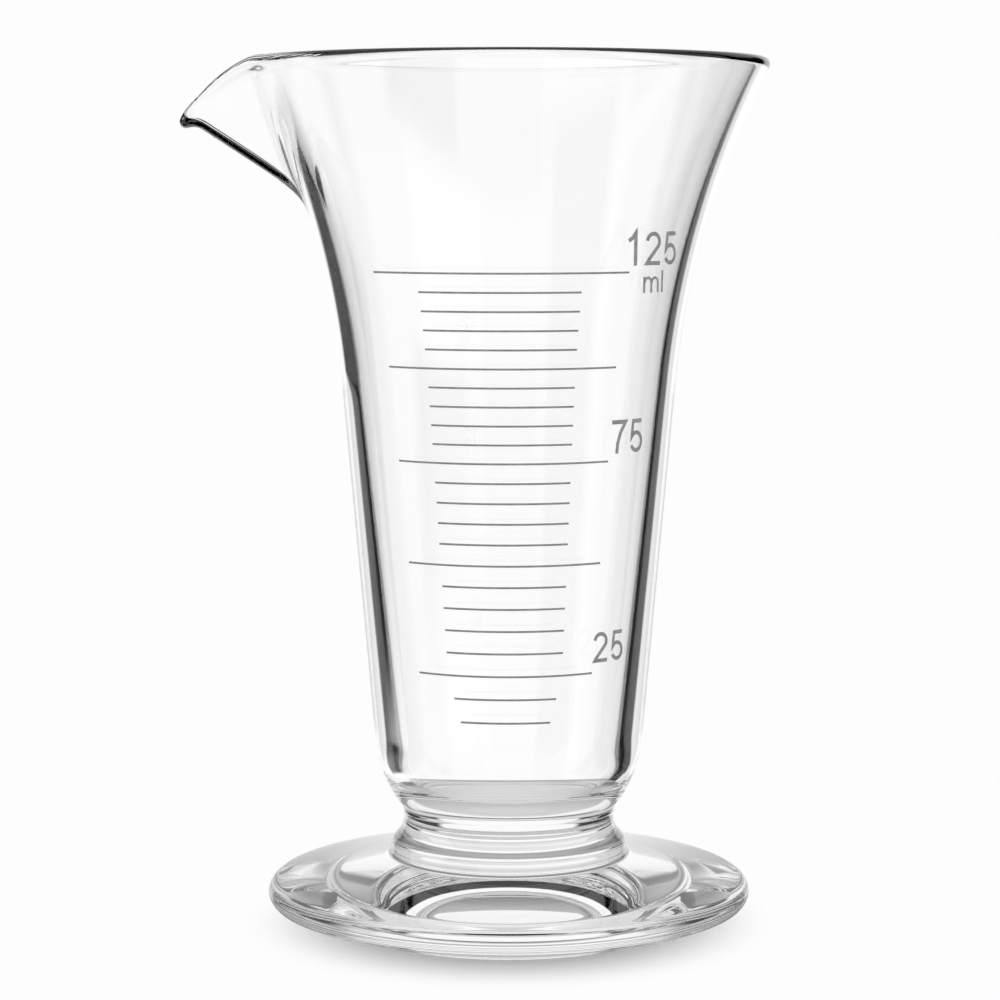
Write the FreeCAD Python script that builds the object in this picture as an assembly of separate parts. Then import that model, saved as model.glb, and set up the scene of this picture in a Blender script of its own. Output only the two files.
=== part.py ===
import FreeCAD, Part
import math
import os

from FreeCAD import Vector

# Conical graduated glass: a tall flared measuring glass on a disc foot, with a pouring spout pulled
# out of its rim and a printed scale in 5 ml steps.
# Millimetres. The origin is the centre of the foot on the table, +Z up. The spout points to -X and
# the scale faces -Y.

# Whole glass
total_height = 138.4
rim_radius = 41.1

# Bowl, outside: a straight taper that runs into one flare arc up to the rim
bowl_base_height = 30.0
bowl_base_radius = 21.5
flare_start_height = 86.0
flare_start_radius = 26.44
bowl_bottom_round = 21.0

# Bowl wall: it thins upwards, as the glass was drawn out, and ends in a fire-polished bead.
# The first two are measured level, the wall at the lip square to the wall.
wall_at_base = 3.5
wall_at_flare = 2.6
wall_at_lip = 2.0
lip_lean_angle = 27.0
lip_bead_round = 1.15
floor_height = 20.7
floor_corner_round = 7.5

# Short solid neck: a waist under the bowl that swells to a collar on the foot
waist_radius = 16.9
waist_round = 4.0
collar_radius = 19.0
collar_round = 3.0
collar_seat_round = 0.8

# Disc foot: a low cone above, a rounded edge, a bevel below and a flat ground underside
foot_radius = 38.8
foot_edge_round = 2.0
foot_edge_height = 5.4
foot_crown_height = 11.3
foot_ring_radius = 27.0
foot_ring_round = 3.0

# Pouring spout: two flat flanks on a rounded keel that climbs outwards, with the bead of the rim
# carried on down along both flanks and round the tip
spout_overhang = 9.9
spout_drop = 9.1
spout_half_width = 15.0
spout_wall = 1.9
spout_bead_round = 1.0
keel_angle = 32.0
keel_round = 3.2
crease_round = 1.0

# Printed scale: a line for every 5 ml, long at every 25 ml. The pitch falls evenly up to the middle
# line and stays the same above it. Lengths are half angles round the bowl, and the scale leans a
# little away from -Y towards the spout, more so at the top.
scale_first_ml = 15
scale_middle_ml = 75
scale_last_ml = 125
scale_step_ml = 5
scale_long_ml = 25
scale_first_height = 36.1
scale_middle_height = 76.5
scale_last_height = 105.4
scale_first_spacing = 3.7
line_width = 0.34
line_thickness = 0.08
long_line_half_angle_low = 35.3
long_line_half_angle_high = 40.9
short_line_half_angle_low = 22.4
short_line_half_angle_high = 25.2
toe_line_trim_angle = 2.1
scale_turn_angle_low = 1.4
scale_turn_angle_high = 3.0

UP = Vector(0, 0, 1)
SIDE = Vector(0, 1, 0)
CENTRE = Vector(0, 0, 0)


def at(point):
    """A point (r, z) of the half section, in space."""
    return Vector(point[0], 0, point[1])


def line(start, end):
    return Part.LineSegment(at(start), at(end)).toShape()


def arc(start, middle, end):
    return Part.Arc(at(start), at(middle), at(end)).toShape()


def arc_about(centre, start, end):
    """The shorter arc about a centre from start to end."""
    radius = math.dist(centre, start)
    half = ((start[0] + end[0]) / 2 - centre[0], (start[1] + end[1]) / 2 - centre[1])
    size = math.hypot(*half)
    middle = (centre[0] + half[0] / size * radius, centre[1] + half[1] / size * radius)
    return arc(start, middle, end)


def tangent_arc(before, start, end):
    """The arc that goes on smoothly from the line before-start and ends at end."""
    chord = (end[0] - start[0], end[1] - start[1])
    turn = math.atan2(chord[1], chord[0]) - math.atan2(start[1] - before[1], start[0] - before[0])
    bulge = math.tan(turn / 2) / 2
    middle = (
        (start[0] + end[0]) / 2 + chord[1] * bulge,
        (start[1] + end[1]) / 2 - chord[0] * bulge,
    )
    return arc(start, middle, end)


def rounded_corner(before, corner, after, radius):
    """Start, middle and end of the arc that rounds a corner between two straight runs."""
    to_before = math.atan2(before[1] - corner[1], before[0] - corner[0])
    to_after = math.atan2(after[1] - corner[1], after[0] - corner[0])
    opening = math.remainder(to_after - to_before, 2 * math.pi)
    bisector = to_before + opening / 2
    back = radius / math.tan(abs(opening) / 2)
    inset = radius / math.sin(abs(opening) / 2) - radius
    return (
        (corner[0] + back * math.cos(to_before), corner[1] + back * math.sin(to_before)),
        (corner[0] + inset * math.cos(bisector), corner[1] + inset * math.sin(bisector)),
        (corner[0] + back * math.cos(to_after), corner[1] + back * math.sin(to_after)),
    )


def tangent_point(point, centre, radius, side):
    """Where a straight run from point touches a circle, on the side +1 (left) or -1 (right)."""
    angle = math.atan2(point[1] - centre[1], point[0] - centre[0])
    angle += side * math.acos(radius / math.dist(point, centre))
    return centre[0] + radius * math.cos(angle), centre[1] + radius * math.sin(angle)


def touching(centre, radius, other_centre, other_radius):
    """The point where two circles that touch from outside meet."""
    share = radius / (radius + other_radius)
    return tuple(a + (b - a) * share for a, b in zip(centre, other_centre))


def turned(edges):
    """The solid turned from a closed half section."""
    return Part.Face(Part.Wire(edges)).revolve(CENTRE, UP, 360)


# Points of the wall that the outside, the inside and the spout share
taper_foot = (bowl_base_radius, bowl_base_height)
taper_top = (flare_start_radius, flare_start_height)
inner_taper_foot = (bowl_base_radius - wall_at_base, bowl_base_height)
inner_taper_top = (flare_start_radius - wall_at_flare, flare_start_height)
bead_centre = (rim_radius - lip_bead_round, total_height - lip_bead_round)


def bead_seat(side):
    """Where the wall runs into the bead of the lip, on the outside (+1) or the inside (-1)."""
    lean = math.radians(lip_lean_angle)
    across = side * wall_at_lip / 2
    below = math.sqrt(lip_bead_round ** 2 - (wall_at_lip / 2) ** 2)
    return (
        bead_centre[0] + across * math.cos(lean) - below * math.sin(lean),
        bead_centre[1] - across * math.sin(lean) - below * math.cos(lean),
    )


def floor_corner():
    """The rounded corner between the flat floor of the bowl and its inner wall."""
    lean = (inner_taper_top[0] - inner_taper_foot[0]) / (flare_start_height - bowl_base_height)
    corner = (inner_taper_foot[0] - (bowl_base_height - floor_height) * lean, floor_height)
    return rounded_corner((0, floor_height), corner, inner_taper_top, floor_corner_round)


def turned_glass():
    """Foot, neck and bowl with its bead all round, as one turned solid that is still filled in."""
    # Foot
    ring_edge = (foot_ring_radius, 0)
    edge_centre = (foot_radius - foot_edge_round, foot_edge_height)
    edge_side = (foot_radius, foot_edge_height)
    crown = (collar_radius, foot_crown_height)
    edge_low = tangent_point(ring_edge, edge_centre, foot_edge_round, 1)
    edge_high = tangent_point(crown, edge_centre, foot_edge_round, -1)
    ring_start, ring_middle, ring_end = rounded_corner((0, 0), ring_edge, edge_low, foot_ring_round)

    # Bowl bottom, waist and collar: three arcs that touch one another
    taper = math.atan2(flare_start_radius - bowl_base_radius, flare_start_height - bowl_base_height)
    bottom_centre = (
        bowl_base_radius - bowl_bottom_round * math.cos(taper),
        bowl_base_height + bowl_bottom_round * math.sin(taper),
    )
    waist_out = waist_radius + waist_round
    waist_span = bowl_bottom_round + waist_round
    waist_centre = (
        waist_out,
        bottom_centre[1] - math.sqrt(waist_span ** 2 - (waist_out - bottom_centre[0]) ** 2),
    )
    waist_side = (waist_radius, waist_centre[1])
    collar_in = collar_radius - collar_round
    collar_span = waist_round + collar_round
    collar_centre = (
        collar_in,
        waist_centre[1] - math.sqrt(collar_span ** 2 - (waist_out - collar_in) ** 2),
    )
    collar_side = (collar_radius, collar_centre[1])
    waist_top = touching(bottom_centre, bowl_bottom_round, waist_centre, waist_round)
    waist_foot = touching(collar_centre, collar_round, waist_centre, waist_round)
    seat_start, seat_middle, seat_end = rounded_corner(edge_high, crown, collar_side, collar_seat_round)

    lip_top = (bead_centre[0], total_height)
    return turned([
        line((0, 0), ring_start),
        arc(ring_start, ring_middle, ring_end),
        line(ring_end, edge_low),
        arc(edge_low, edge_side, edge_high),
        line(edge_high, seat_start),
        arc(seat_start, seat_middle, seat_end),
        line(seat_end, collar_side),
        arc_about(collar_centre, collar_side, waist_foot),
        arc(waist_foot, waist_side, waist_top),
        arc_about(bottom_centre, waist_top, taper_foot),
        line(taper_foot, taper_top),
        tangent_arc(taper_foot, taper_top, bead_seat(1)),
        arc(bead_seat(1), lip_top, bead_seat(-1)),
        line(bead_seat(-1), (0, bead_seat(-1)[1])),
        line((0, bead_seat(-1)[1]), (0, 0)),
    ])


def bowl_hollow():
    """The room inside the bowl, carried on straight up above the lip."""
    floor_start, floor_middle, floor_end = floor_corner()
    mouth = bead_seat(-1)
    above = total_height + rim_radius
    return turned([
        line((0, floor_height), floor_start),
        arc(floor_start, floor_middle, floor_end),
        line(floor_end, inner_taper_top),
        tangent_arc(inner_taper_foot, inner_taper_top, mouth),
        line(mouth, (mouth[0], above)),
        line((mouth[0], above), (0, above)),
        line((0, above), (0, floor_height)),
    ])


class Spout:
    """Lines and solids of the pouring spout, worked out on the middle of its wall."""

    def __init__(self):
        climb = math.radians(keel_angle)
        self.outward = Vector(-math.cos(climb), 0, math.sin(climb))
        self.upward = Vector(math.sin(climb), 0, math.cos(climb))
        self.middle_round = keel_round - spout_wall / 2
        tip = Vector(-rim_radius - spout_overhang, 0, total_height - spout_drop)
        self.axis_end = tip + self.upward * self.middle_round

        # The flanks lean so far that they meet the middle of the rim at the spout's half width
        back = math.sqrt(bead_centre[0] ** 2 - spout_half_width ** 2)
        rise = (Vector(-back, 0, bead_centre[1]) - self.axis_end).dot(self.upward)
        spread = math.hypot(spout_half_width, rise)
        lean = math.atan2(spout_half_width, rise) - math.asin(self.middle_round / spread)
        self.sine = math.sin(lean)
        self.cosine = math.cos(lean)
        self.back = back
        self.length = (spout_overhang + spout_half_width + total_height - flare_start_height) / 2

    def foot(self, hand, radius):
        """Where a flank leaves the round of the keel, at the tip."""
        return (
            self.axis_end
            + SIDE * (hand * radius * self.cosine)
            - self.upward * (radius * self.sine)
        )

    def slope(self, hand):
        """The direction up a flank, square to the keel."""
        return SIDE * (hand * self.sine) + self.upward * self.cosine

    def channel(self):
        """The room between the flanks, a V-shaped prism that reaches back into the bowl."""
        inner_round = keel_round - spout_wall
        start = self.outward * -self.length
        feet = [self.foot(hand, inner_round) + start for hand in (-1, 1)]
        heads = [foot + self.slope(hand) * self.length for foot, hand in zip(feet, (-1, 1))]
        keel = self.axis_end - self.upward * inner_round + start
        section = Part.Wire([
            Part.Arc(feet[0], keel, feet[1]).toShape(),
            Part.LineSegment(feet[1], heads[1]).toShape(),
            Part.LineSegment(heads[1], heads[0]).toShape(),
            Part.LineSegment(heads[0], feet[0]).toShape(),
        ])
        return Part.Face(section).extrude(self.outward * (2 * self.length))

    def keel(self):
        """The round bottom of the spout, a part of a tube from the bowl to the tip."""
        outer = [self.foot(hand, keel_round) for hand in (-1, 1)]
        inner = [self.foot(hand, keel_round - spout_wall) for hand in (-1, 1)]
        section = Part.Wire([
            Part.Arc(outer[0], self.axis_end - self.upward * keel_round, outer[1]).toShape(),
            Part.LineSegment(outer[1], inner[1]).toShape(),
            Part.Arc(
                inner[1], self.axis_end - self.upward * (keel_round - spout_wall), inner[0]
            ).toShape(),
            Part.LineSegment(inner[0], outer[0]).toShape(),
        ])
        return Part.Face(section).extrude(self.outward * -self.length)

    def flank(self, hand):
        """One flat side with its bead. Its lip is one arc from the tip up to the rim."""
        foot = self.foot(hand, self.middle_round)
        up = self.slope(hand)
        normal = up.cross(self.outward)
        shoulder = Vector(-self.back, hand * spout_half_width, bead_centre[1])
        chord = shoulder - foot
        turn = math.atan2(-chord.dot(self.outward), chord.dot(up))
        lip_radius = chord.Length / (2 * math.sin(turn))
        lip_centre = foot - self.outward * lip_radius

        def lip_point(angle):
            return lip_centre + self.outward * (lip_radius * math.cos(angle)) + up * (
                lip_radius * math.sin(angle)
            )

        # The lip runs on past the rim far enough to end inside the bowl
        past = 2 * turn + 3 * spout_bead_round / lip_radius
        root_head = lip_point(past)
        root_foot = foot - self.outward * self.length
        side = Part.Wire([
            Part.Arc(foot, lip_point(past / 2), root_head).toShape(),
            Part.LineSegment(root_head, root_foot).toShape(),
            Part.LineSegment(root_foot, foot).toShape(),
        ])
        plate = Part.Face(side).extrude(normal * spout_wall)
        plate.translate(normal * (-spout_wall / 2))
        ring = Part.Face(Part.Wire([Part.Circle(foot, up, spout_bead_round).toShape()]))
        bead = ring.revolve(lip_centre, self.outward.cross(up), math.degrees(past))
        return plate.fuse(bead)

    def tip(self):
        """The bead round the end of the keel."""
        foot = self.foot(1, self.middle_round)
        ring = Part.Face(Part.Wire([Part.Circle(foot, self.slope(1), spout_bead_round).toShape()]))
        sweep = 180 - 2 * math.degrees(math.atan2(self.sine, self.cosine))
        return ring.revolve(self.axis_end, self.outward, sweep)

    def body(self):
        return self.keel().fuse([self.flank(-1), self.flank(1), self.tip()])


def middle_of(edge):
    return edge.valueAt((edge.FirstParameter + edge.LastParameter) / 2)


def measuring_glass():
    spout = Spout()
    joined = turned_glass().cut(spout.channel()).fuse(spout.body())
    glass = joined.cut(bowl_hollow()).removeSplitter().Solids[0]

    # The four creases where the flanks meet the wall, outside and inside
    creases = [
        edge for edge in glass.Edges
        if flare_start_height < middle_of(edge).z < total_height - spout_drop
        and middle_of(edge).x < 0
        and abs(middle_of(edge).y) > keel_round
        and math.hypot(middle_of(edge).x, middle_of(edge).y) < rim_radius
    ]
    return glass.makeFillet(crease_round, creases).Solids[0]


def wall_radius(height):
    """How far the outside of the bowl stands from the axis."""
    taper = math.atan2(flare_start_radius - bowl_base_radius, flare_start_height - bowl_base_height)
    if height <= flare_start_height:
        return bowl_base_radius + (height - bowl_base_height) * math.tan(taper)
    rim_end = bead_seat(1)
    turn = math.atan2(rim_end[0] - taper_top[0], rim_end[1] - taper_top[1]) - taper
    flare_round = math.dist(taper_top, rim_end) / (2 * math.sin(turn))
    centre_radius = flare_start_radius + flare_round * math.cos(taper)
    centre_height = flare_start_height - flare_round * math.sin(taper)
    return centre_radius - math.sqrt(flare_round ** 2 - (height - centre_height) ** 2)


def scale_height(millilitres):
    """Where a line of the scale sits."""
    if millilitres > scale_middle_ml:
        share = (millilitres - scale_middle_ml) / (scale_last_ml - scale_middle_ml)
        return scale_middle_height + share * (scale_last_height - scale_middle_height)
    whole = (scale_middle_ml - scale_first_ml) / scale_step_ml
    fall = (scale_first_spacing * whole + scale_first_height - scale_middle_height) * 2
    fall /= whole * (whole - 1)
    steps = (millilitres - scale_first_ml) / scale_step_ml
    return scale_first_height + steps * scale_first_spacing - fall * steps * (steps - 1) / 2


def graduation_line(millilitres):
    """One printed line, a thin strip that lies on the wall."""
    height = scale_height(millilitres)
    rise = (height - scale_first_height) / (scale_last_height - scale_first_height)
    if millilitres % scale_long_ml:
        half_angle = short_line_half_angle_low
        half_angle += rise * (short_line_half_angle_high - short_line_half_angle_low)
    else:
        half_angle = long_line_half_angle_low
        half_angle += rise * (long_line_half_angle_high - long_line_half_angle_low)
    half_angle -= toe_line_trim_angle * max(0, scale_long_ml - millilitres) / scale_step_ml
    lower = (wall_radius(height - line_width / 2), height - line_width / 2)
    upper = (wall_radius(height + line_width / 2), height + line_width / 2)
    section = Part.Face(Part.Wire([
        line(lower, upper),
        line(upper, (upper[0] + line_thickness, upper[1])),
        line((upper[0] + line_thickness, upper[1]), (lower[0] + line_thickness, lower[1])),
        line((lower[0] + line_thickness, lower[1]), lower),
    ]))
    turn = scale_turn_angle_low + rise * (scale_turn_angle_high - scale_turn_angle_low)
    section.rotate(CENTRE, UP, -90 - turn - half_angle)
    return section.revolve(CENTRE, UP, 2 * half_angle)


def graduation_marks():
    steps = range(scale_first_ml, scale_last_ml + scale_step_ml, scale_step_ml)
    return Part.makeCompound([graduation_line(millilitres) for millilitres in steps])


os.makedirs("parts", exist_ok=True)
measuring_glass().exportStep("parts/measuring_glass.step")
graduation_marks().exportStep("parts/graduation_marks.step")
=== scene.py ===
import math

import bpy
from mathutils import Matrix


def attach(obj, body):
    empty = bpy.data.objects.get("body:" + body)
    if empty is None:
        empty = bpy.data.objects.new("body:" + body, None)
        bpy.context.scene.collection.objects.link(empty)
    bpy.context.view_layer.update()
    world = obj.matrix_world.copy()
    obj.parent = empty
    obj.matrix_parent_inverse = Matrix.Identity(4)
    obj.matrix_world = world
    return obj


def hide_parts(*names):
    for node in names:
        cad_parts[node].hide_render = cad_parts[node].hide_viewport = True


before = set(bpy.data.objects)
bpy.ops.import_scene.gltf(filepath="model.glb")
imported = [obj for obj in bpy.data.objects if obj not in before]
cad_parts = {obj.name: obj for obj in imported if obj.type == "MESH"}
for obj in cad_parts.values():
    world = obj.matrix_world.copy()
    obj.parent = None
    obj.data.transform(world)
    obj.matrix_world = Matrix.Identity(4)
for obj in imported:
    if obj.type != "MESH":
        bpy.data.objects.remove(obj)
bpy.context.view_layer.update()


# THE GLASS
# One piece of clear soda-lime glass: bowl, pouring spout, thick bottom, short neck and disc foot.
# The spout was pulled out of the round rim while the glass was soft, and the lip is fire-polished.

class Socket:
    """An output of a node. Sums and products of sockets add the nodes that work them out."""

    def __init__(self, tree, end=None):
        self.tree = tree
        self.end = end

    def node(self, kind, settings=None, sockets=None, output=0):
        """Any other node: its settings first, then the values or links of its sockets."""
        node = self.tree.nodes.new(kind)
        for name, value in (settings or {}).items():
            if name == "stops":
                ramp = node.color_ramp.elements
                while len(ramp) < len(value):
                    ramp.new(0.5)
                for element, (place, colour) in zip(ramp, value):
                    element.position = place
                    element.color = colour
            else:
                setattr(node, name, value)
        for key, value in (sockets or {}).items():
            if isinstance(value, Socket):
                self.tree.links.new(value.end, node.inputs[key])
            else:
                node.inputs[key].default_value = value
        return Socket(self.tree, node.outputs[output])

    def also(self, output):
        """Another output of the same node."""
        return Socket(self.tree, self.end.node.outputs[output])

    def math(self, operation, *others):
        sockets = dict(enumerate((self, *others)))
        return self.node("ShaderNodeMath", {"operation": operation}, sockets)

    def vector(self, operation, *others, output=0):
        sockets = dict(enumerate((self, *others)))
        return self.node("ShaderNodeVectorMath", {"operation": operation}, sockets, output)

    def times(self, number):
        """A vector, longer by a number."""
        return self.node(
            "ShaderNodeVectorMath", {"operation": "SCALE"}, {"Vector": self, "Scale": number}
        )

    def __add__(self, other):
        return self.math("ADD", other)

    def __radd__(self, other):
        return self.math("ADD", other)

    def __sub__(self, other):
        return self.math("SUBTRACT", other)

    def __rsub__(self, other):
        return self.node("ShaderNodeMath", {"operation": "SUBTRACT"}, {0: other, 1: self})

    def __mul__(self, other):
        return self.math("MULTIPLY", other)

    def __rmul__(self, other):
        return self.math("MULTIPLY", other)

    def __truediv__(self, other):
        return self.math("DIVIDE", other)

    def __rtruediv__(self, other):
        return self.node("ShaderNodeMath", {"operation": "DIVIDE"}, {0: other, 1: self})

    def __pow__(self, other):
        return self.math("POWER", other)


def geometry_tree(name, sizes):
    """A Geometry Nodes tree with a named input for each size. Returns it and its input sockets."""
    tree = bpy.data.node_groups.new(name, "GeometryNodeTree")
    tree.interface.new_socket("Geometry", in_out="OUTPUT", socket_type="NodeSocketGeometry")
    tree.interface.new_socket("Geometry", in_out="INPUT", socket_type="NodeSocketGeometry")
    for label, size in sizes.items():
        kind = "NodeSocketInt" if isinstance(size, int) else "NodeSocketFloat"
        tree.interface.new_socket(label, in_out="INPUT", socket_type=kind)
    entry = tree.nodes.new("NodeGroupInput")
    return tree, {label: Socket(tree, entry.outputs[label]) for label in ("Geometry", *sizes)}


def close_tree(geometry, material):
    """The end of every tree: real geometry, smooth, with its material."""
    real = geometry.node("GeometryNodeRealizeInstances", {}, {"Geometry": geometry})
    smooth = real.node("GeometryNodeSetShadeSmooth", {}, {"Geometry": real})
    dressed = smooth.node("GeometryNodeSetMaterial", {}, {"Geometry": smooth, "Material": material})
    out = dressed.tree.nodes.new("NodeGroupOutput")
    dressed.tree.links.new(dressed.end, out.inputs["Geometry"])


def grow(name, seed_mesh, tree, sizes):
    """Runs a tree on a mesh and keeps the result as a plain mesh object."""
    seed = bpy.data.objects.new(name + "_seed", seed_mesh)
    bpy.context.scene.collection.objects.link(seed)
    modifier = seed.modifiers.new("Growth", "NODES")
    modifier.node_group = tree
    for item in tree.interface.items_tree:
        if item.in_out == "INPUT" and item.name in sizes:
            modifier[item.identifier] = sizes[item.name]
    bpy.context.view_layer.update()
    evaluated = seed.evaluated_get(bpy.context.evaluated_depsgraph_get())
    mesh = bpy.data.meshes.new_from_object(evaluated)
    seed.modifiers.remove(modifier)
    bpy.data.objects.remove(seed)
    mesh.name = name
    piece = bpy.data.objects.new(name, mesh)
    bpy.context.scene.collection.objects.link(piece)
    return piece


# Sizes of the glass in millimetres, and its angles in degrees
glass_sizes = {
    "Columns": 340,
    "Spout Crowding": 0.45,
    "Flare Start Height": 86.0,
    "Flare Start Radius": 25.14,
    "Flare Turn": 5.04,
    "Flare Round": 138.8,
    "Lip Height": 137.3,
    "Keel Angle": 32.0,
    "Flank Lean": 44.83,
    "Flank Offset": -58.01,
    "Keel Softness": 0.112,
    "Crease Round": 6.5,
    "Spout Half Angle": 22.05,
    "Spout Drop": 7.63,
    "Spout Drop Start": 104.0,
    "Droop Power": 1.76,
    "Tip Round Angle": 2.0,
    "Tip Curl": 1.3,
    "Tip Curl Reach": 0.55,
    "Tip Curl Length": 3.0,
    "Tip Curl Angle": 1.6,
    "Spout Thinning": 0.1,
}
taper = math.radians(glass_sizes["Flare Turn"])

# The outside of the bowl in millimetres: a straight taper that runs into the arc of the flare
taper_foot_radius = 21.5
taper_foot_height = 30.0
taper_head_radius = 26.44
taper_head_height = 86.0
taper_lean = (taper_head_radius - taper_foot_radius) / (taper_head_height - taper_foot_height)
flare_centre_radius = 166.96
flare_centre_height = 73.6
flare_round = 141.07
millimetre = 0.001


def arc_points(centre, radius, start, end, steps):
    """Points of an arc in the half section; angles in degrees from level, both ends included."""
    angles = [math.radians(start + (end - start) * i / steps) for i in range(steps + 1)]
    return [
        (centre[0] + radius * math.cos(a), centre[1] + radius * math.sin(a)) for a in angles
    ]


def straight(start, end, steps):
    """Points between two ends of a straight run, close together near both ends."""
    shares = [0.5 - 0.5 * math.cos(math.pi * i / steps) for i in range(1, steps)]
    return [tuple(a + (b - a) * share for a, b in zip(start, end)) for share in shares]


def foot_neck_and_bowl():
    """The outside below the flare, from the middle of the underside up."""
    ring_radius = 27.0
    ring_round = 3.0
    edge = (36.8, 5.4)
    edge_round = 2.0
    crown = (19.0, 11.3)
    seat_round = 0.8
    collar_round = 3.0
    waist_radius = 16.9
    waist_round = 4.0
    bottom_round = 21.0

    # The foot: a rounded ring on the table, a bevel, the rounded edge and a cone up to the crown
    reach = math.hypot(edge[0] - ring_radius, edge[1])
    edge_low = math.degrees(math.atan2(edge[1], edge[0] - ring_radius)) - 90
    edge_low += math.degrees(math.asin(edge_round / reach))
    edge_high = math.degrees(math.atan2(crown[1] - edge[1], crown[0] - edge[0]))
    edge_high -= math.degrees(math.acos(edge_round / math.dist(edge, crown)))
    foot_edge = arc_points(edge, edge_round, edge_low, edge_high, 26)
    back = ring_round * math.tan(math.radians(edge_low + 90) / 2)
    ring = arc_points((ring_radius - back, ring_round), ring_round, -90, edge_low, 8)

    # The neck: the collar on the foot, the waist and the bottom of the bowl are arcs that touch
    bottom = (
        taper_foot_radius - bottom_round * math.cos(taper),
        taper_foot_height + bottom_round * math.sin(taper),
    )
    waist_centre_radius = waist_radius + waist_round
    apart = bottom_round + waist_round
    waist_drop = math.sqrt(apart ** 2 - (waist_centre_radius - bottom[0]) ** 2)
    waist = (waist_centre_radius, bottom[1] - waist_drop)
    collar_centre_radius = crown[0] - collar_round
    apart = waist_round + collar_round
    collar_drop = math.sqrt(apart ** 2 - (waist_centre_radius - collar_centre_radius) ** 2)
    collar = (collar_centre_radius, waist[1] - collar_drop)
    meet = math.degrees(math.atan2(waist[1] - bottom[1], waist[0] - bottom[0]))
    join = math.degrees(math.atan2(waist[1] - collar[1], waist[0] - collar[0]))
    cone = math.degrees(math.atan2(foot_edge[-1][1] - crown[1], foot_edge[-1][0] - crown[0]))
    seat_rise = seat_round / math.tan(math.radians(90 - cone) / 2)
    seat = (crown[0] + seat_round, crown[1] + seat_rise)
    neck = (
        arc_points(seat, seat_round, cone - 90, -180, 6)
        + arc_points(collar, collar_round, 0, join, 14)
        + arc_points(waist, waist_round, join + 180, meet + 180, 18)[1:]
        + arc_points(bottom, bottom_round, meet, -math.degrees(taper), 26)[1:]
    )
    taper_head = (taper_head_radius, taper_head_height)
    return (
        [(0.0, 0.0)]
        + straight((0.0, 0.0), ring[0], 8)
        + ring
        + straight(ring[-1], foot_edge[0], 6)
        + foot_edge
        + straight(foot_edge[-1], neck[0], 9)
        + neck
        + straight(neck[-1], taper_head, 9)
        + [taper_head]
    )


def inside_below_the_flare():
    """The inside below the flare, from the top of the taper down to the middle of the floor."""
    floor_height = 20.7
    corner_round = 7.5
    inside_foot_radius = 18.0
    inside_head = (23.84, taper_head_height)
    lean = (inside_head[0] - inside_foot_radius) / (taper_head_height - taper_foot_height)
    corner_radius = inside_foot_radius - (taper_foot_height - floor_height) * lean
    opening = math.radians(90) + math.atan(lean)
    back = corner_round / math.tan(opening / 2)
    centre = (corner_radius - back, floor_height + corner_round)
    bend = arc_points(centre, corner_round, -math.degrees(math.atan(lean)), -90, 22)
    floor_middle = (0.0, floor_height)
    return (
        [inside_head]
        + straight(inside_head, bend[0], 9)
        + bend
        + straight(bend[-1], floor_middle, 7)
        + [floor_middle]
    )


def half_section():
    """The half section as a mesh of points. On the flare, a point is kept as its height on the
    middle of the wall, its offset from it, and its reach past the wall's end, in the round lip."""
    rows = [(r, z, 0.0, 0.0, 0.0) for r, z in foot_neck_and_bowl()]
    lip = glass_sizes["Lip Height"]
    lip_round = 1.1
    flare_half_wall = 1.3
    lowest = 88.0
    finer_from = 132.0
    highest = lip - 0.6
    heights = [lowest + (finer_from - lowest) * i / 33 for i in range(34)]
    heights += [finer_from + (highest - finer_from) * i / 12 for i in range(1, 13)]

    def half_wall(height):
        share = (height - taper_head_height) / (lip - taper_head_height)
        return flare_half_wall + (lip_round - flare_half_wall) * share

    round_end = [math.radians(90 - 180 * i / 24) for i in range(25)]
    rows += [(0.0, z, half_wall(z), 0.0, 1.0) for z in heights]
    rows += [(0.0, lip, lip_round * math.sin(a), lip_round * math.cos(a), 1.0) for a in round_end]
    rows += [(0.0, z, -half_wall(z), 0.0, 1.0) for z in reversed(heights)]
    rows += [(r, z, 0.0, 0.0, 0.0) for r, z in inside_below_the_flare()]
    mesh = bpy.data.meshes.new("half_section")
    mesh.from_pydata(
        [(row[0], 0.0, row[1]) for row in rows],
        [(i, i + 1) for i in range(len(rows) - 1)],
        [],
    )
    for place, label in ((2, "offset"), (3, "beyond"), (4, "sheet")):
        values = mesh.attributes.new(label, "FLOAT", "POINT").data
        values.foreach_set("value", [row[place] for row in rows])
    return mesh


section_mesh = half_section()
glass_tree, size = geometry_tree("turned glass with a pulled spout", glass_sizes)
start = Socket(glass_tree)
rows = size["Geometry"].node("GeometryNodeAttributeDomainSize", {}, {"Geometry": size["Geometry"]})
sheet_grid = start.node(
    "GeometryNodeMeshGrid", {}, {"Vertices X": size["Columns"] + 1, "Vertices Y": rows}
)
index = start.node("GeometryNodeInputIndex")
column = (index / rows).math("FLOOR")
row = index - column * rows


def from_section(kind, value):
    """A value of the half section at this point's row."""
    return start.node(
        "GeometryNodeSampleIndex",
        {"data_type": kind},
        {"Geometry": size["Geometry"], "Value": value, "Index": row},
    )


def section_number(label):
    named = start.node("GeometryNodeInputNamedAttribute", {"data_type": "FLOAT"}, {"Name": label})
    return from_section("FLOAT", named)


place = from_section("FLOAT_VECTOR", start.node("GeometryNodeInputPosition"))
radius = place.node("ShaderNodeSeparateXYZ", {}, {0: place})
height = radius.also(2)
offset, beyond, on_sheet = (section_number(label) for label in ("offset", "beyond", "sheet"))

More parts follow.
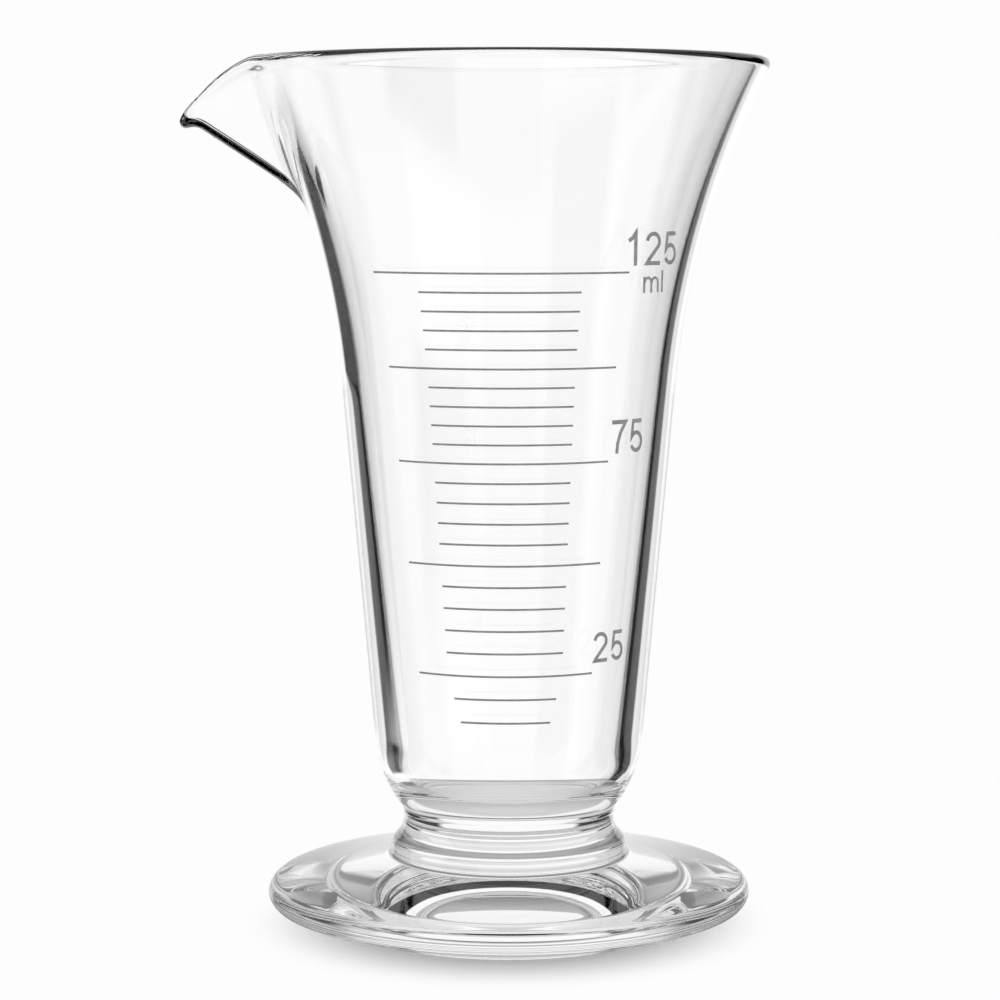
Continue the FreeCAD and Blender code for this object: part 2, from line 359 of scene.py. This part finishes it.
# The angle round the glass from the spout, with the columns crowded at the spout
side = column / size["Columns"] * 2 - 1
spread = side * size["Spout Crowding"] + side * side * side * (1 - size["Spout Crowding"])
angle = spread * math.pi
flare_turn = size["Flare Turn"].math("RADIANS")
keel_angle = size["Keel Angle"].math("RADIANS")
flank_lean = size["Flank Lean"].math("RADIANS")
tip_round = size["Tip Round Angle"].math("RADIANS")
half_angle = size["Spout Half Angle"].math("RADIANS")
full_spread = (half_angle * half_angle + tip_round * tip_round).math("SQRT")


def droop(angle):
    """How far the lip hangs down at an angle from the spout, as a share of the drop at its tip."""
    away = (angle * angle + tip_round * tip_round).math("SQRT") / full_spread
    near = (1 - away).math("MAXIMUM", 0) / (1 - tip_round / full_spread)
    return near ** size["Droop Power"]


def wall_point(angle, height):
    """A point on the middle of the wall: the flare, with the spout pulled out of it."""
    rise = (height - size["Spout Drop Start"]).math("MAXIMUM", 0)
    rise = rise / (size["Lip Height"] - size["Spout Drop Start"])
    level = height - droop(angle) * size["Spout Drop"] * rise * rise
    centre_radius = size["Flare Start Radius"] + size["Flare Round"] * flare_turn.math("COSINE")
    centre_height = size["Flare Start Height"] - size["Flare Round"] * flare_turn.math("SINE")
    above = level - centre_height
    flare = centre_radius - (size["Flare Round"] * size["Flare Round"] - above * above).math("SQRT")
    widest_turn = math.radians(60)
    turn = angle.math("ABSOLUTE").math("MINIMUM", widest_turn)
    sideways = turn.math("SINE")
    sideways = sideways.math("SMOOTH_MAX", sideways * -1, size["Keel Softness"])
    reach = size["Flank Offset"] + keel_angle.math("COSINE") * flank_lean.math("SINE") * level
    spread = keel_angle.math("SINE") * flank_lean.math("SINE") * turn.math("COSINE")
    flank = reach / (spread + flank_lean.math("COSINE") * sideways)
    out = flare.math("SMOOTH_MAX", flank, size["Crease Round"])
    curl = (height - size["Lip Height"] + size["Tip Curl Length"]).math("MAXIMUM", 0)
    curl = curl / size["Tip Curl Length"]
    off_middle = angle / size["Tip Curl Angle"].math("RADIANS")
    curl = curl * curl * (off_middle * off_middle * -1).math("EXPONENT")
    out = out + curl * size["Tip Curl Reach"]
    level = level - curl * size["Tip Curl"]
    return start.node(
        "ShaderNodeCombineXYZ",
        {},
        {0: out * angle.math("COSINE") * -1, 1: out * angle.math("SINE"), 2: level},
    )


# The wall's own directions at each point: along the rim, square to the wall, and on past the lip.
# They follow from steps of a small angle in radians and a small rise in millimetres.
small_angle = 0.002
small_rise = 0.1
middle = wall_point(angle, height)
ahead = wall_point(angle + small_angle, height)
along = ahead.vector("SUBTRACT", wall_point(angle - small_angle, height))
upward = middle.vector("SUBTRACT", wall_point(angle, height - small_rise))
square = upward.vector("CROSS_PRODUCT", along).vector("NORMALIZE")
onward = along.vector("CROSS_PRODUCT", square).vector("NORMALIZE")
thinning = 1 - droop(angle) * size["Spout Thinning"]
pulled = middle.vector("ADD", square.times(offset * thinning))
pulled = pulled.vector("ADD", onward.times(beyond * thinning))
turned = start.node(
    "ShaderNodeCombineXYZ",
    {},
    {0: radius * angle.math("COSINE") * -1, 1: radius * angle.math("SINE"), 2: height},
)
chosen = start.node(
    "GeometryNodeSwitch",
    {"input_type": "VECTOR"},
    {"Switch": on_sheet, "False": turned, "True": pulled},
)
shaped = start.node(
    "GeometryNodeSetPosition", {}, {"Geometry": sheet_grid, "Position": chosen.times(millimetre)}
)
closed = start.node("GeometryNodeMergeByDistance", {}, {"Geometry": shaped, "Distance": 0.000002})
outward = start.node("GeometryNodeFlipFaces", {}, {"Mesh": closed})

clear_glass = bpy.data.materials.new("clear_glass")
clear_glass.use_nodes = True
clear_glass.node_tree.nodes.clear()
start = Socket(clear_glass.node_tree)
melt = start.node("ShaderNodeTexCoord").also("Object")
waves = start.node("ShaderNodeTexNoise", {}, {"Vector": melt, "Scale": 45.0, "Detail": 1.0})
ripple = start.node("ShaderNodeBump", {}, {"Height": waves, "Strength": 0.02, "Distance": 0.0004})
glass_shader = start.node(
    "ShaderNodeBsdfPrincipled",
    {},
    {
        "Base Color": (0.993, 0.996, 0.993, 1.0),
        "Roughness": 0.0,
        "IOR": 1.52,
        "Transmission Weight": 1.0,
        "Normal": ripple,
    },
)
glass_out = clear_glass.node_tree.nodes.new("ShaderNodeOutputMaterial")
clear_glass.node_tree.links.new(glass_shader.end, glass_out.inputs["Surface"])

close_tree(outward, clear_glass)
glass = grow("glass", section_mesh, glass_tree, glass_sizes)
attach(glass, "root")
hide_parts("measuring_glass")


# THE PRINTED SCALE
# Grey enamel lines, fired onto the outside of the bowl: one for every 5 ml, long at every 25 ml.

enamel = bpy.data.materials.new("grey_enamel")
enamel.use_nodes = True
enamel.node_tree.nodes.clear()
start = Socket(enamel.node_tree)
print_place = start.node("ShaderNodeTexCoord").also("Object")
speckle = start.node(
    "ShaderNodeTexNoise", {}, {"Vector": print_place, "Scale": 900.0, "Detail": 3.0}
)
shade = start.node(
    "ShaderNodeValToRGB",
    {"stops": [(0.35, (0.21, 0.21, 0.212, 1.0)), (0.65, (0.28, 0.28, 0.282, 1.0))]},
    {0: speckle},
)
enamel_shader = start.node(
    "ShaderNodeBsdfPrincipled",
    {},
    {"Base Color": shade, "Roughness": speckle * 0.3 + 0.35},
)
enamel_out = enamel.node_tree.nodes.new("ShaderNodeOutputMaterial")
enamel.node_tree.links.new(enamel_shader.end, enamel_out.inputs["Surface"])

scale_sizes = {
    "First Line": 15,
    "Last Line": 125,
    "Step": 5,
    "Long Line Every": 25,
    "Even Pitch From": 75,
    "First Height": 36.1,
    "Middle Height": 76.5,
    "Last Height": 105.4,
    "First Spacing": 3.7,
    "Line Width": 0.3,
    "Ink Thickness": 0.08,
    "Long Half Angle Low": 35.3,
    "Long Half Angle High": 40.9,
    "Short Half Angle Low": 22.4,
    "Short Half Angle High": 25.2,
    "Toe Trim": 2.1,
    "Turn Low": 1.4,
    "Turn High": 3.0,
}
scale_tree, size = geometry_tree("lines of the scale", scale_sizes)
start = Socket(scale_tree)
count = (size["Last Line"] - size["First Line"]) / size["Step"] + 1
places = start.node("GeometryNodeMeshLine", {}, {"Count": count, "Offset": (0.0, 0.0, 0.0)})
strip = start.node(
    "GeometryNodeMeshCube",
    {},
    {"Size": (2.0, 2.0, 2.0), "Vertices X": 41, "Vertices Y": 2, "Vertices Z": 2},
)
strips = start.node("GeometryNodeInstanceOnPoints", {}, {"Points": places, "Instance": strip})
number = start.node("GeometryNodeInputIndex")
numbered = start.node(
    "GeometryNodeStoreNamedAttribute",
    {"data_type": "INT", "domain": "INSTANCE"},
    {"Geometry": strips, "Name": "line", "Value": number},
)
loose = start.node("GeometryNodeRealizeInstances", {}, {"Geometry": numbered})
line = start.node("GeometryNodeInputNamedAttribute", {"data_type": "INT"}, {"Name": "line"})
marked = size["First Line"] + line * size["Step"]

# The pitch falls evenly up to the middle line and stays the same above it
lower_steps = (size["Even Pitch From"] - size["First Line"]) / size["Step"]
fall = size["First Spacing"] * lower_steps + size["First Height"] - size["Middle Height"]
fall = fall * 2 / (lower_steps * (lower_steps - 1))
low_height = size["First Height"] + line * size["First Spacing"] - fall * line * (line - 1) / 2
upper_share = (marked - size["Even Pitch From"]) / (size["Last Line"] - size["Even Pitch From"])
high_height = size["Middle Height"] + upper_share * (size["Last Height"] - size["Middle Height"])
is_upper = marked.math("GREATER_THAN", size["Even Pitch From"])
line_height = low_height + is_upper * (high_height - low_height)

share = (line_height - size["First Height"]) / (size["Last Height"] - size["First Height"])
short_half = size["Short Half Angle Low"] + share * (
    size["Short Half Angle High"] - size["Short Half Angle Low"]
)
long_half = size["Long Half Angle Low"] + share * (
    size["Long Half Angle High"] - size["Long Half Angle Low"]
)
is_short = marked.math("MODULO", size["Long Line Every"]).math("GREATER_THAN", 0.5)
trim = (size["Long Line Every"] - marked).math("MAXIMUM", 0) / size["Step"] * size["Toe Trim"]
half = long_half + is_short * (short_half - long_half) - trim
turn = size["Turn Low"] + share * (size["Turn High"] - size["Turn Low"])
along_line = start.node("GeometryNodeInputPosition")
along_line = along_line.node("ShaderNodeSeparateXYZ", {}, {0: along_line})
line_angle = (along_line * half - turn).math("RADIANS")
ink_height = line_height + along_line.also(2) * size["Line Width"] / 2


def outer_wall(height):
    """The radius of the outside of the bowl at a height, in millimetres, as a socket."""
    on_taper = taper_foot_radius + (height - taper_foot_height) * taper_lean
    above_centre = height - flare_centre_height
    across = (flare_round ** 2 - above_centre * above_centre).math("SQRT")
    on_flare = flare_centre_radius - across
    is_flare = height.math("GREATER_THAN", taper_head_height)
    return on_taper + is_flare * (on_flare - on_taper)


ink_radius = outer_wall(ink_height) + (along_line.also(1) + 1) * size["Ink Thickness"] / 2
ink_place = start.node(
    "ShaderNodeCombineXYZ",
    {},
    {
        0: ink_radius * line_angle.math("SINE"),
        1: ink_radius * line_angle.math("COSINE") * -1,
        2: ink_height,
    },
)
laid = start.node(
    "GeometryNodeSetPosition", {}, {"Geometry": loose, "Position": ink_place.times(millimetre)}
)
laid = start.node("GeometryNodeFlipFaces", {}, {"Mesh": laid})
close_tree(laid, enamel)
lines = grow("scale_lines", bpy.data.meshes.new("no_seed"), scale_tree, scale_sizes)
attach(lines, "root")
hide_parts("graduation_marks")


# THE FIGURES OF THE SCALE
# 125, 75 and 25 beside their lines and the unit ml, plain sans-serif figures printed with the lines
# in the same grey enamel. Each character is drawn by one pen line that keeps its width.

def pen_arc(centre, radii, start_angle, end_angle, steps=18):
    """Points of a part of an ellipse, from one angle to another in degrees."""
    points = []
    for i in range(steps + 1):
        angle = math.radians(start_angle + (end_angle - start_angle) * i / steps)
        across = radii[0] * math.cos(angle)
        up = radii[1] * math.sin(angle)
        points.append((centre[0] + across, centre[1] + up))
    return points


# The advance of each character and its pen lines, in a box one high
pen = 0.125
foot_line = pen / 2
top_line = 1 - pen / 2
characters = {
    "1": (0.777, [[(0.19, 0.74), (0.33, 0.83), (0.44, 0.98), (0.44, 0.0)]]),
    "2": (
        0.777,
        [
            pen_arc((0.36, 0.70), (0.255, 0.24), 172, -28)
            + [(0.17, 0.16), (0.1, foot_line), (0.66, foot_line)]
        ],
    ),
    "5": (
        0.777,
        [
            [(0.63, top_line), (0.22, top_line), (0.145, 0.46)]
            + pen_arc((0.365, 0.325), (0.255, 0.265), 138, -155, 30)
        ],
    ),
    "7": (0.777, [[(0.07, top_line), (0.64, top_line), (0.42, 0.62), (0.3, 0.3), (0.265, 0.0)]]),
    "m": (
        1.16,
        [
            [(0.14, 0.0), (0.14, 0.72)],
            [(0.14, 0.4)] + pen_arc((0.375, 0.46), (0.205, 0.21), 165, 0, 12) + [(0.58, 0.0)],
            [(0.58, 0.4)] + pen_arc((0.805, 0.46), (0.205, 0.21), 165, 0, 12) + [(1.01, 0.0)],
        ],
    ),
    "l": (0.31, [[(0.155, 0.0), (0.155, 1.0)]]),
}


def bowl_radius(height):
    """The radius of the outside of the bowl at a height, in millimetres."""
    if height < taper_head_height:
        return taper_foot_radius + (height - taper_foot_height) * taper_lean
    return flare_centre_radius - math.sqrt(flare_round ** 2 - (height - flare_centre_height) ** 2)


def pen_edges(points, width):
    """The two edges of a pen line, with its corners cut on the bisector."""
    sharpest = 0.35
    left, right = [], []
    for i, point in enumerate(points):
        before = points[max(i - 1, 0)]
        after = points[min(i + 1, len(points) - 1)]
        ways = []
        for a, b in ((before, point), (point, after)):
            span = math.dist(a, b)
            if span:
                ways.append(((b[0] - a[0]) / span, (b[1] - a[1]) / span))
        way = (sum(w[0] for w in ways), sum(w[1] for w in ways))
        span = math.hypot(*way)
        way = (way[0] / span, way[1] / span)
        stretch = 1 / max(sharpest, way[0] * ways[0][0] + way[1] * ways[0][1])
        reach = width / 2 * stretch
        left.append((point[0] - way[1] * reach, point[1] + way[0] * reach))
        right.append((point[0] + way[1] * reach, point[1] - way[0] * reach))
    return left, right


def printed_word(word, left_angle, foot_height, tall, wide):
    """Vertices and faces of a word, from its left edge, its foot and its size in millimetres."""
    ink_depth = 0.06
    longest_piece = 0.08
    vertices, faces = [], []
    foot_radius = bowl_radius(foot_height)
    whole = sum(characters[letter][0] for letter in word)
    place = 0.0
    for letter in word:
        advance, pen_lines = characters[letter]
        for points in pen_lines:
            fine = [points[0]]
            for a, b in zip(points, points[1:]):
                pieces = max(1, round(math.dist(a, b) / longest_piece))
                for i in range(1, pieces + 1):
                    fine.append(tuple(p + (q - p) * i / pieces for p, q in zip(a, b)))
            first = len(vertices)
            for edge in zip(*pen_edges(fine, pen)):
                for depth in (0.0, ink_depth):
                    for x, y in edge:
                        height = foot_height + y * tall
                        radius = bowl_radius(height) + depth
                        angle = math.radians(left_angle) + (place + x) / whole * wide / foot_radius
                        angle = math.asin(math.sin(angle) * foot_radius / radius)
                        vertices.append(
                            (
                                radius * math.sin(angle) * millimetre,
                                -radius * math.cos(angle) * millimetre,
                                height * millimetre,
                            )
                        )
            rungs = (len(vertices) - first) // 4
            for i in range(rungs - 1):
                a, b = first + 4 * i, first + 4 * i + 4
                for j, k in ((0, 1), (1, 3), (3, 2), (2, 0)):
                    faces.append((a + j, b + j, b + k, a + k))
            last = first + 4 * (rungs - 1)
            faces.append((first, first + 1, first + 3, first + 2))
            faces.append((last, last + 2, last + 3, last + 1))
        place += advance
    return vertices, faces


figure_vertices, figure_faces = [], []
for word, left_angle, foot_height, tall, wide in (
    ("125", 35.3, 106.4, 5.1, 13.0),
    ("ml", 44.5, 102.2, 3.4, 5.6),
    ("75", 37.1, 77.6, 5.2, 7.7),
    ("25", 34.5, 45.0, 4.8, 7.0),
):
    vertices, faces = printed_word(word, left_angle, foot_height, tall, wide)
    base = len(figure_vertices)
    figure_vertices += vertices
    figure_faces += [tuple(base + corner for corner in face) for face in faces]
figure_mesh = bpy.data.meshes.new("scale_figures")
figure_mesh.from_pydata(figure_vertices, [], figure_faces)
figure_mesh.materials.append(enamel)
figures = bpy.data.objects.new("scale_figures", figure_mesh)
bpy.context.scene.collection.objects.link(figures)
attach(figures, "root")


# STAGE
# A white table top under a plain white studio light. The glass also shows white walls and dark gaps
# between them, which only the rays that pass through it or mirror in it can see.

def soft_step(value, low, high, before, after):
    """A soft edge between two strengths."""
    return value.node(
        "ShaderNodeMapRange",
        {"interpolation_type": "SMOOTHSTEP"},
        {0: value, 1: low, 2: high, 3: before, 4: after},
    )


table_mesh = bpy.data.meshes.new("table")
table_half = 3.0
table_height = -0.00015
table_mesh.from_pydata(
    [
        (-table_half, -table_half, table_height),
        (table_half, -table_half, table_height),
        (table_half, table_half, table_height),
        (-table_half, table_half, table_height),
    ],
    [],
    [(0, 1, 2, 3)],
)
table = bpy.data.objects.new("table", table_mesh)
bpy.context.scene.collection.objects.link(table)
table_paint = bpy.data.materials.new("table_white")
table_paint.use_nodes = True
table_paint.node_tree.nodes.clear()
start = Socket(table_paint.node_tree)
paper_white = 0.985
paper = start.node("ShaderNodeBsdfDiffuse", {}, {"Color": (paper_white,) * 3 + (1.0,)})
clean = start.node(
    "ShaderNodeEmission", {}, {"Color": (1.0, 1.0, 1.0, 1.0), "Strength": paper_white}
)
nothing = start.node("ShaderNodeBsdfTransparent")
away = start.node("ShaderNodeTexCoord").also("Object").vector("LENGTH", output=1)

# The table as the glass shows it, by tenths of a metre from its middle: painted light under the
# foot, a painted shadow towards the foot's edge and painted light again just past it. Farther out
# the walls show in its place.
beyond_foot = soft_step(away, 0.046, 0.054, 0.0, 1.0)
shade = start.node(
    "ShaderNodeValToRGB",
    {
        "stops": [
            (0.1, (0.66, 0.66, 0.66, 1.0)),
            (0.27, (0.42, 0.42, 0.42, 1.0)),
            (0.37, (0.1, 0.1, 0.1, 1.0)),
            (0.47, (0.65, 0.65, 0.65, 1.0)),
        ]
    },
    {0: away * 10},
)
# An emission on the table that only the glass sees: painted light and a painted shadow ring under
# the foot, not a lamp
painted_light_and_shadow = start.node("ShaderNodeEmission", {}, {"Color": shade, "Strength": 1.0})
rays = start.node("ShaderNodeLightPath")
through_glass = rays.also("Is Transmission Ray").math("MAXIMUM", rays.also("Is Glossy Ray"))

# Past the contact shadow the camera sees clean white paper
past_shadow = soft_step(away, 0.02, 0.045, 0.0, 1.0) * rays.also("Is Camera Ray")
paper = start.node("ShaderNodeMixShader", {}, {0: past_shadow, 1: paper, 2: clean})
glass_view = start.node("ShaderNodeMixShader", {}, {0: beyond_foot, 1: painted_light_and_shadow, 2: nothing})
paper = start.node("ShaderNodeMixShader", {}, {0: through_glass, 1: paper, 2: glass_view})
table_out = table_paint.node_tree.nodes.new("ShaderNodeOutputMaterial")
table_paint.node_tree.links.new(paper.end, table_out.inputs["Surface"])
table_mesh.materials.append(table_paint)

world = bpy.data.worlds.new("studio")
bpy.context.scene.world = world
world.use_nodes = True
world.node_tree.nodes.clear()
start = Socket(world.node_tree)
direction = start.node("ShaderNodeTexCoord").also("Generated")
rise = direction.node("ShaderNodeSeparateXYZ", {}, {0: direction}).also(2)
level = direction.vector("MULTIPLY", (1.0, 1.0, 0.0)).vector("NORMALIZE")


def white_wall(bearing, half_width, strength):
    """A white wall of the studio: its bearing from +Y towards +X and its half width, in degrees."""
    turn = math.radians(bearing)
    facing = level.vector("DOT_PRODUCT", (math.sin(turn), math.cos(turn), 0.0), output=1)
    edge = math.cos(math.radians(half_width + 3))
    inner = math.cos(math.radians(half_width - 2))
    return soft_step(facing, edge, inner, 0.0, strength)


# White walls on five sides, darker towards the ceiling. Rise is the sine of the elevation.
walls = white_wall(0, 29, 1.0).math("MAXIMUM", white_wall(-90, 20, 0.95))
walls = walls.math("MAXIMUM", white_wall(135, 26, 0.95)).math("MAXIMUM", white_wall(180, 30, 0.7))
walls = walls.math("MAXIMUM", white_wall(90, 20, 0.6))
walls = walls * soft_step(rise, 0.42, 0.7, 1.0, 0.75)

# The ceiling, which comes down lower on the far side
overhead = soft_step(rise, 0.66, 0.8, 0.0, 0.75)
overhead = overhead.math("MAXIMUM", white_wall(0, 58, 0.7) * soft_step(rise, 0.22, 0.36, 0.0, 1.0))

# The pale table below, lower on one side and dark straight down
near_table = soft_step(rise, -0.34, -0.25, 1.0, 0.0)
table_beside = soft_step(rise, -0.6, -0.45, 1.0, 0.0)
near_table = near_table + white_wall(70, 37, 1.0) * (table_beside - near_table)
near_table = near_table * soft_step(rise, -0.68, -0.58, 0.0, 1.0)
in_the_gaps = 0.012
seen_by_glass = walls.math("MAXIMUM", near_table).math("MAXIMUM", overhead) + in_the_gaps
rays = start.node("ShaderNodeLightPath")
through_glass = rays.also("Is Transmission Ray").math("MAXIMUM", rays.also("Is Glossy Ray"))
backdrop = rays.also("Is Camera Ray") * (paper_white - 1) + 1
strength = through_glass * seen_by_glass + (1 - through_glass) * backdrop
light = start.node(
    "ShaderNodeBackground", {}, {"Color": (1.0, 1.0, 1.0, 1.0), "Strength": strength}
)
world_out = world.node_tree.nodes.new("ShaderNodeOutputWorld")
world.node_tree.links.new(light.end, world_out.inputs["Surface"])

camera_data = bpy.data.cameras.new("camera")
camera = bpy.data.objects.new("camera", camera_data)
bpy.context.scene.collection.objects.link(camera)
camera_data.sensor_width = 36.0
camera_data.lens = 108.0
camera_data.shift_x = -0.0088
pitch = math.radians(6.12)
camera_distance = 0.48
aim_height = 0.06835
camera.location = (
    0.0,
    -camera_distance * math.cos(pitch),
    aim_height + camera_distance * math.sin(pitch),
)
camera.rotation_euler = (math.pi / 2 - pitch, 0.0, 0.0)
bpy.context.scene.camera = camera
bpy.context.scene.view_settings.view_transform = "Standard"

# Light is mirrored inside the thick foot and neck many times before it comes out again
bounces = bpy.context.scene.cycles
bounces.max_bounces = 24
bounces.glossy_bounces = 16
bounces.transmission_bounces = 24
bounces.transparent_max_bounces = 16
